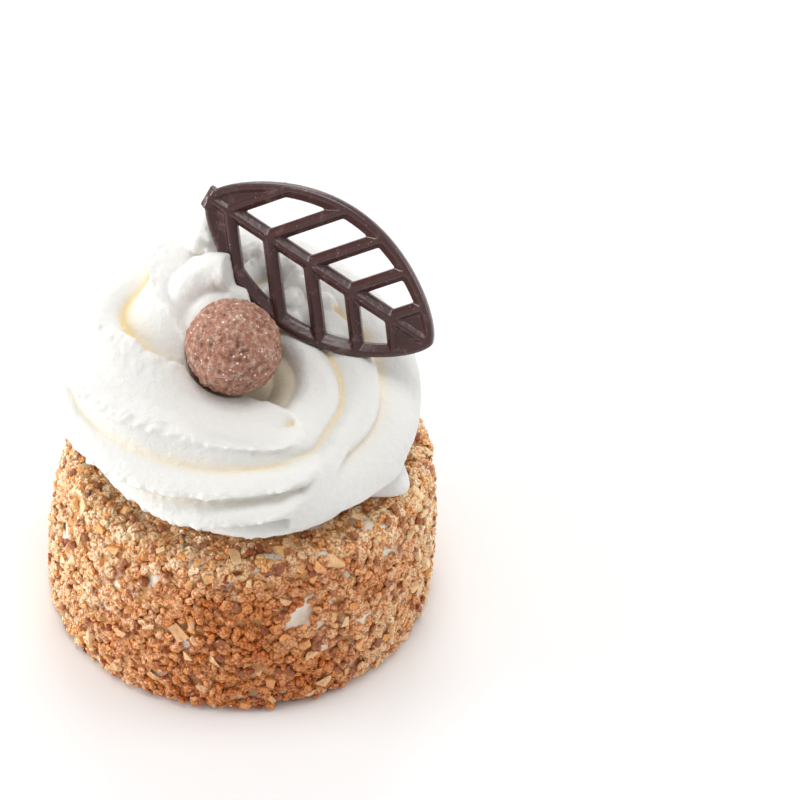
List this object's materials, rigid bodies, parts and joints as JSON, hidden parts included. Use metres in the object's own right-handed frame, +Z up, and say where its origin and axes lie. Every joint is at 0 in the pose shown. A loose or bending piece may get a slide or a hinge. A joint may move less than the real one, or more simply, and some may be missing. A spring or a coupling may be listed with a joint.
{
  "type": "hazelnut meringue",
  "caption": "Small upright pastry: a drum coated in chopped caramelised nuts, topped with a piped cream rosette, a chocolate ball and an openwork chocolate leaf.",
  "frame": {"origin": "middle of the drum's flat foot, at table height", "axes": "+Z up through the drum, -Y towards the front, where the chocolate ball shows before the leaf, +X to the side that the leaf's tip hangs over"},
  "size_m": [0.0724, 0.0719, 0.0798],
  "materials": {
    "nut_coating": "chopped caramelised hazelnut, rough and slightly glassy",
    "cream": "whipped cream, soft satin",
    "dusted_chocolate": "milk chocolate rolled in fine sugar and cocoa, matt",
    "dark_chocolate": "moulded dark chocolate, satin gloss"
  },
  "bodies": {
    "root": {"base": "nut_coating", "cream": "cream", "truffle": "dusted_chocolate", "leaf": "dark_chocolate"}
  },
  "joints": []
}
